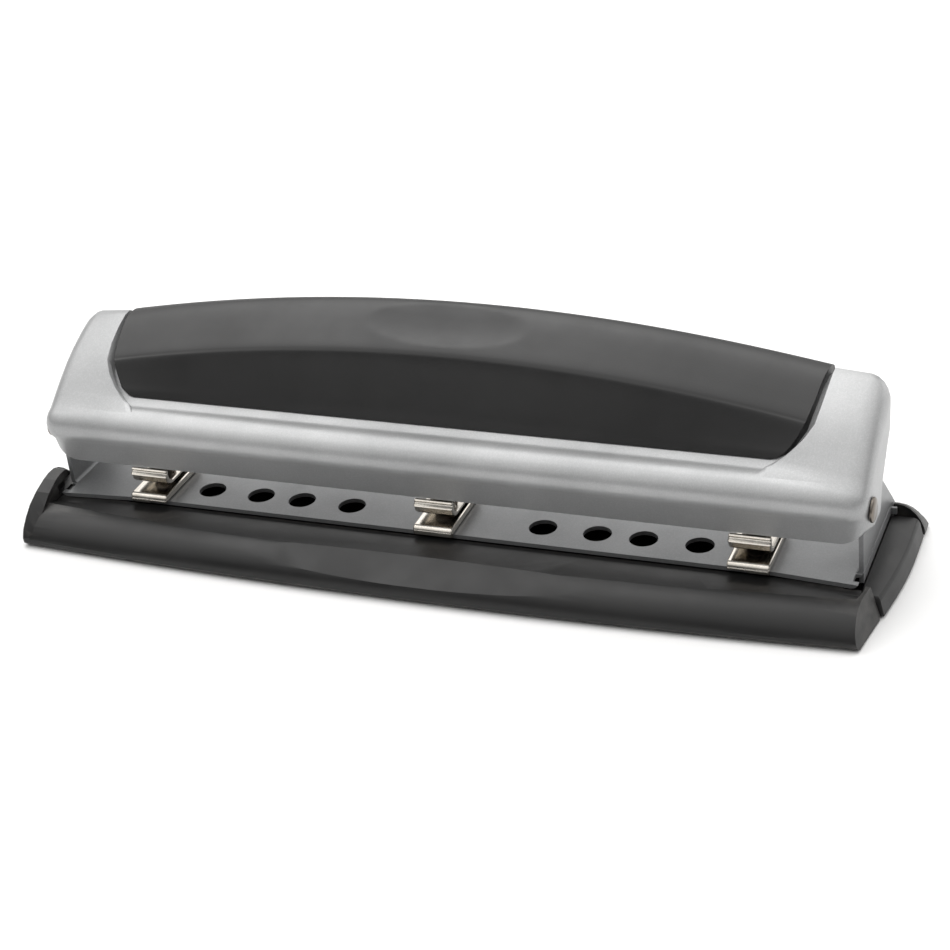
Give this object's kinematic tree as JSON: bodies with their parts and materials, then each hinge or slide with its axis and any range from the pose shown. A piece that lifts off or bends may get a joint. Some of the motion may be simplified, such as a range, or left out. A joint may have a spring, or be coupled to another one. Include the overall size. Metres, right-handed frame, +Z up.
{
  "type": "three hole punch",
  "caption": "Desktop paper punch with a lever handle, punch heads set for ring-binder paper, a lipped chip tray that the frame hinges up from, and a push latch",
  "frame": {"origin": "on the table, under the middle of the punch's box", "axes": "X runs along the punch to its latch end, Y from its paper side to its back, Z up"},
  "size_m": [0.3046, 0.0834, 0.0788],
  "materials": {
    "silver_paint": "fine metallic silver paint",
    "grey_paint": "grey paint on sheet steel",
    "black_plastic": "satin moulded black plastic",
    "grip_plastic": "matt moulded black plastic",
    "nickel_plate": "bright nickel plate",
    "dark_steel": "dark oiled steel",
    "foot_rubber": "matt black rubber"
  },
  "bodies": {
    "tray": {"chip_tray": "black_plastic", "foot_front_left": "foot_rubber", "foot_rear_left": "foot_rubber", "foot_front_right": "foot_rubber", "foot_rear_right": "foot_rubber", "tray_hinge_pin": "nickel_plate"},
    "latch": {"latch_tab": "black_plastic"},
    "frame": {"base_plate": "grey_paint", "punch_head_left": "nickel_plate", "head_screw_left": "nickel_plate", "die_bush_left": "dark_steel", "pin_spring_left": "dark_steel", "punch_head_center": "nickel_plate", "head_screw_center": "nickel_plate", "die_bush_center": "dark_steel", "pin_spring_center": "dark_steel", "punch_head_right": "nickel_plate", "head_screw_right": "nickel_plate", "die_bush_right": "dark_steel", "pin_spring_right": "dark_steel", "pivot_rivet_left": "dark_steel", "pivot_rivet_right": "dark_steel"},
    "handle": {"handle_shell": "silver_paint", "grip_cover": "grip_plastic", "press_bar": "dark_steel"},
    "pin_left": {"punch_pin_left": "dark_steel", "pin_cap_left": "nickel_plate"},
    "pin_center": {"punch_pin_center": "dark_steel", "pin_cap_center": "nickel_plate"},
    "pin_right": {"punch_pin_right": "dark_steel", "pin_cap_right": "nickel_plate"}
  },
  "joints": [
    {"name": "frame_lift", "type": "hinge", "parent": "tray", "child": "frame", "pos_m": [-0.1488, 0, 0.0082], "axis": [0, -1, 0], "range_deg": [0, 30]},
    {"name": "latch_push", "type": "slide", "parent": "tray", "child": "latch", "axis": [-1, 0, 0], "range_m": [0, 0.003], "stiffness_N_per_m": 300, "springref_m": -0.004},
    {"name": "handle_press", "type": "hinge", "parent": "frame", "child": "handle", "pos_m": [-0.0022, -0.0088, 0.0346], "axis": [-1, 0, 0], "range_deg": [0, 40], "stiffness_Nm_per_rad": 0.6, "springref_deg": -20.05},
    {"name": "pin_left_slide", "type": "slide", "parent": "frame", "child": "pin_left", "axis": [0, 0, -1], "range_m": [0, 0.0046], "deforming": ["pin_spring_left"]},
    {"name": "pin_center_slide", "type": "slide", "parent": "frame", "child": "pin_center", "axis": [0, 0, -1], "range_m": [0, 0.0046], "deforming": ["pin_spring_center"]},
    {"name": "pin_right_slide", "type": "slide", "parent": "frame", "child": "pin_right", "axis": [0, 0, -1], "range_m": [0, 0.0046], "deforming": ["pin_spring_right"]}
  ],
  "couplings": [
    {"joint": "pin_left_slide", "follows": "handle_press", "m_per_rad": 0.0065},
    {"joint": "pin_center_slide", "follows": "handle_press", "m_per_rad": 0.0065},
    {"joint": "pin_right_slide", "follows": "handle_press", "m_per_rad": 0.0065}
  ]
}
